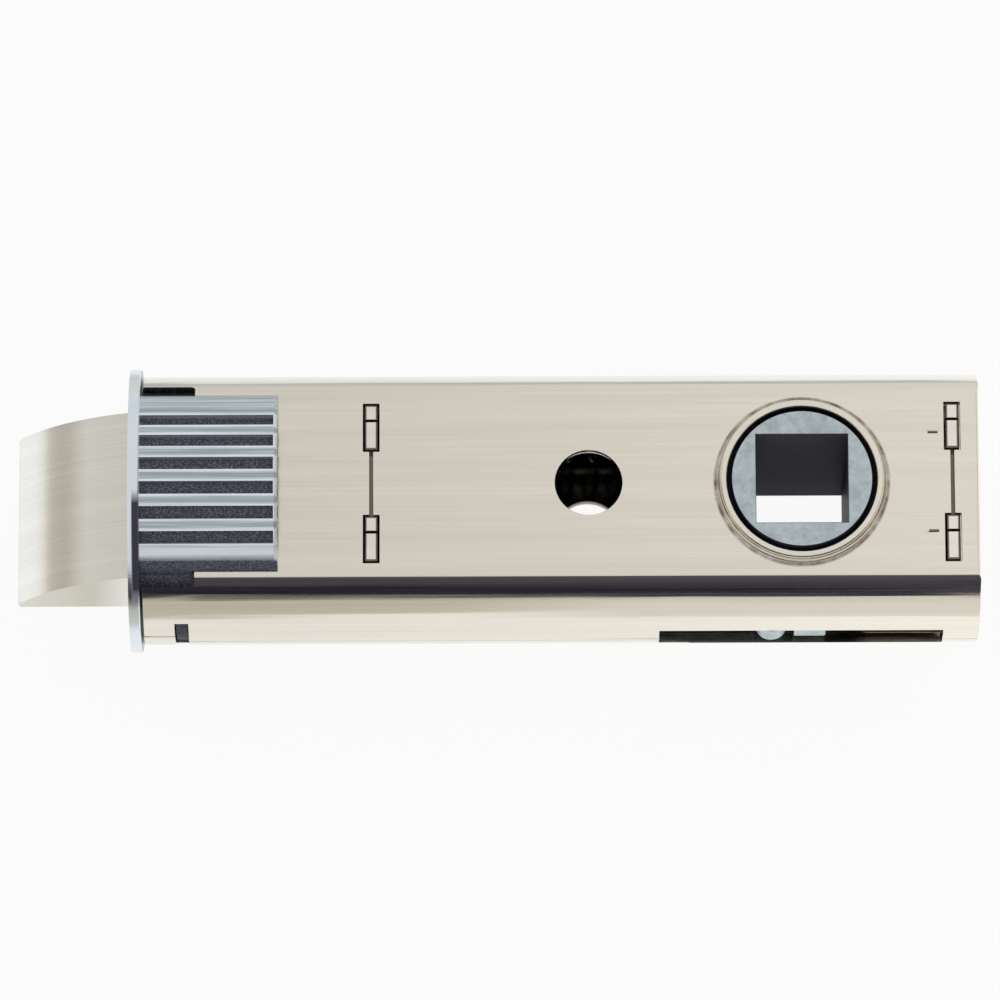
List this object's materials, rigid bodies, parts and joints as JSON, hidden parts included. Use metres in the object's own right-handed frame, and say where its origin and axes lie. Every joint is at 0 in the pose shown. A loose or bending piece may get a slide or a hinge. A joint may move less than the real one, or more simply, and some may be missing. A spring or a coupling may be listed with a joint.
{
  "type": "tubular door latch",
  "caption": "Tubular door latch: ribbed drive-in collar with a round flange, sprung beveled bolt and a rolled steel case round a square-socket hub that draws the bolt in.",
  "frame": {"origin": "centre of the flange's front face, on the tube's axis", "axes": "+X along the tube from the flange to its rear end, so the bolt points along -X; +Z along the spindle and fixing-bolt axes; the tube lies on its wide side"},
  "size_m": [0.0862, 0.0254, 0.0254],
  "materials": {
    "nickelled_sheet": "satin nickel plate, brushed along the tube",
    "nickelled_bolt": "satin nickel plate, brushed along the bolt",
    "zinc_casting": "bare zinc die casting, matte",
    "plated_steel": "zinc plated",
    "spring_steel": "drawn spring wire"
  },
  "bodies": {
    "case": {"case_tube": "nickelled_sheet", "drive_in_collar": "zinc_casting", "front_bulkhead": "nickelled_sheet", "rear_bulkhead": "nickelled_sheet", "spring_guide_pin_left": "plated_steel", "spring_guide_pin_right": "plated_steel", "bolt_spring": "spring_steel", "return_spring_left": "spring_steel", "return_spring_right": "spring_steel"},
    "follower": {"hub": "zinc_casting"},
    "bolt": {"latch_bolt": "nickelled_bolt", "bolt_cross_pin": "plated_steel", "draw_rod": "plated_steel", "draw_rod_clip": "plated_steel", "retractor_fork": "zinc_casting"},
    "return_slider": {"return_fork": "plated_steel"}
  },
  "joints": [
    {"name": "hub_turn", "type": "hinge", "parent": "case", "child": "follower", "pos_m": [0.06, 0, 0], "axis": [0, 0, 1], "range_deg": [0, 58]},
    {"name": "bolt_slide", "type": "slide", "parent": "case", "child": "bolt", "axis": [1, 0, 0], "range_m": [0, 0.01], "stiffness_N_per_m": 1100, "springref_m": -0.0085, "deforming": ["bolt_spring"]},
    {"name": "return_slide", "type": "slide", "parent": "case", "child": "return_slider", "axis": [-1, 0, 0], "range_m": [0, 0.007], "deforming": ["return_spring_left", "return_spring_right"]}
  ],
  "couplings": [
    {"joint": "hub_turn", "follows": "bolt_slide", "rad_per_m": 101.2},
    {"joint": "return_slide", "follows": "bolt_slide", "ratio": 0.6985}
  ]
}
